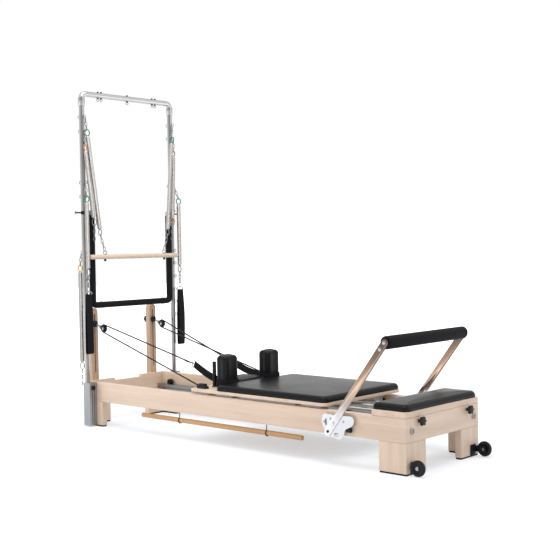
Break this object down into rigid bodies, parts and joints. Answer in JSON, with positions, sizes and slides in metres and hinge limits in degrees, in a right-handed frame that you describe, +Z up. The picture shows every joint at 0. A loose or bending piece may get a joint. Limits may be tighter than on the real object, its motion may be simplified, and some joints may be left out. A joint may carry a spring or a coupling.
{
  "type": "pilates_tower_unit",
  "caption": "Maple pilates reformer with a padded sprung carriage, foot bar, rope risers and a steel tube tower with push-through bar, roll-down bar, springs and loops.",
  "frame": {"origin": "on the floor, under the middle of the unit outer box", "axes": "X along the bed, from the tower and head end to the foot bar end; Y across it, minus on the side that the picture shows; Z up"},
  "size_m": [2.6356, 0.897, 2.112],
  "materials": {
    "maple": "clear satin lacquer over pale maple",
    "beech": "clear satin lacquer over orange-brown beech",
    "vinyl": "black upholstery vinyl, soft sheen",
    "foam": "black foam grip, matt",
    "plastic": "black moulded plastic",
    "webbing": "black woven webbing",
    "rope": "dark grey braided rope",
    "chrome": "polished chrome and stainless steel",
    "steel": "bright wound spring steel",
    "grey": "grey anodised profile",
    "tyre": "black rubber wheel"
  },
  "bodies": {
    "bed": {"side_rail_near": "maple", "leg_head_near": "maple", "leg_foot_near": "maple", "track_near": "grey", "riser_near": "maple", "pulley_block_near": "plastic", "rope_near": "rope", "tower_base_near": "grey", "tower_post_near": "chrome", "push_bar_spring_near": "steel", "footbar_bracket_near": "chrome", "transport_fork_near": "plastic", "side_rail_far": "maple", "leg_head_far": "maple", "leg_foot_far": "maple", "track_far": "grey", "riser_far": "maple", "pulley_block_far": "plastic", "rope_far": "rope", "tower_base_far": "grey", "tower_post_far": "chrome", "push_bar_spring_far": "steel", "footbar_bracket_far": "chrome", "transport_fork_far": "plastic", "head_board": "maple", "foot_board": "maple", "platform_board": "maple", "platform_pad": "vinyl", "spring_bar": "steel", "carriage_spring_1": "steel", "carriage_spring_2": "steel", "carriage_spring_3": "steel", "tower_crossbar": "chrome", "leg_spring": "steel", "pole": "beech"},
    "carriage": {"carriage_board": "maple", "carriage_pad": "vinyl", "shoulder_rest_near": "vinyl", "shoulder_rest_far": "vinyl", "shoulder_loop_near": "webbing", "shoulder_loop_far": "webbing"},
    "headrest": {"headrest": "vinyl"},
    "wheels_head": {"carriage_wheels_head": "plastic"},
    "wheels_foot": {"carriage_wheels_foot": "plastic"},
    "pulley_near": {"pulley_wheel_near": "plastic"},
    "pulley_far": {"pulley_wheel_far": "plastic"},
    "push_bar": {"push_bar": "foam"},
    "roll_down": {"roll_down_bar": "maple", "roll_down_spring_near": "steel", "roll_down_spring_far": "steel"},
    "arm_near": {"arm_spring_near": "steel", "hand_loop_near": "webbing"},
    "arm_far": {"arm_spring_far": "steel", "hand_loop_far": "webbing"},
    "footbar": {"footbar_frame": "chrome"},
    "footbar_roller": {"footbar_roller": "foam"},
    "knob_near": {"foot_knob_near": "plastic"},
    "knob_far": {"foot_knob_far": "plastic"},
    "transport_near": {"transport_wheel_near": "tyre"},
    "transport_far": {"transport_wheel_far": "tyre"}
  },
  "joints": [
    {"name": "carriage_slide", "type": "slide", "parent": "bed", "child": "carriage", "axis": [1, 0, 0], "range_m": [-0.7, 0], "deforming": ["carriage_spring_1", "carriage_spring_2", "carriage_spring_3", "rope_near", "rope_far"]},
    {"name": "headrest_tilt", "type": "hinge", "parent": "carriage", "child": "headrest", "pos_m": [-0.0822, 0, 0.335], "axis": [0, 1, 0], "range_deg": [0, 30]},
    {"name": "wheels_head_spin", "type": "hinge", "parent": "carriage", "child": "wheels_head", "pos_m": [-0.1942, 0, 0.2293], "axis": [0, 1, 0], "continuous": true},
    {"name": "wheels_foot_spin", "type": "hinge", "parent": "carriage", "child": "wheels_foot", "pos_m": [0.6478, 0, 0.2293], "axis": [0, 1, 0], "continuous": true},
    {"name": "pulley_near_spin", "type": "hinge", "parent": "bed", "child": "pulley_near", "pos_m": [-1.1525, -0.246, 0.61], "axis": [0, 1, 0], "continuous": true},
    {"name": "pulley_far_spin", "type": "hinge", "parent": "bed", "child": "pulley_far", "pos_m": [-1.1525, 0.246, 0.61], "axis": [0, 1, 0], "continuous": true},
    {"name": "push_bar_swing", "type": "hinge", "parent": "bed", "child": "push_bar", "pos_m": [-1.1652, 0, 1.344], "axis": [0, 1, 0], "range_deg": [0, 100], "deforming": ["push_bar_spring_near", "push_bar_spring_far"]},
    {"name": "roll_down_swing", "type": "hinge", "parent": "bed", "child": "roll_down", "pos_m": [-1.1442, 0, 1.935], "axis": [0, 1, 0], "range_deg": [-60, 0]},
    {"name": "arm_near_swing", "type": "hinge", "parent": "bed", "child": "arm_near", "pos_m": [-1.1442, -0.3721, 1.525], "axis": [0, 1, 0], "range_deg": [-60, 0]},
    {"name": "arm_far_swing", "type": "hinge", "parent": "bed", "child": "arm_far", "pos_m": [-1.1442, 0.3721, 1.525], "axis": [0, 1, 0], "range_deg": [-60, 0]},
    {"name": "footbar_swing", "type": "hinge", "parent": "bed", "child": "footbar", "pos_m": [0.7968, 0, 0.215], "axis": [0, 1, 0], "range_deg": [-36, 50]},
    {"name": "footbar_roller_spin", "type": "hinge", "parent": "footbar", "child": "footbar_roller", "pos_m": [1.1258, 0, 0.642], "axis": [0, 1, 0], "continuous": true},
    {"name": "knob_near_turn", "type": "hinge", "parent": "bed", "child": "knob_near", "pos_m": [1.2468, -0.219, 0.256], "axis": [1, 0, 0], "continuous": true},
    {"name": "knob_far_turn", "type": "hinge", "parent": "bed", "child": "knob_far", "pos_m": [1.2468, 0.219, 0.256], "axis": [1, 0, 0], "continuous": true},
    {"name": "transport_near_spin", "type": "hinge", "parent": "bed", "child": "transport_near", "pos_m": [1.2778, -0.306, 0.042], "axis": [0, 1, 0], "continuous": true},
    {"name": "transport_far_spin", "type": "hinge", "parent": "bed", "child": "transport_far", "pos_m": [1.2778, 0.306, 0.042], "axis": [0, 1, 0], "continuous": true}
  ],
  "couplings": [
    {"joint": "wheels_head_spin", "follows": "carriage_slide", "rad_per_m": 35.714},
    {"joint": "wheels_foot_spin", "follows": "carriage_slide", "rad_per_m": 35.714}
  ]
}
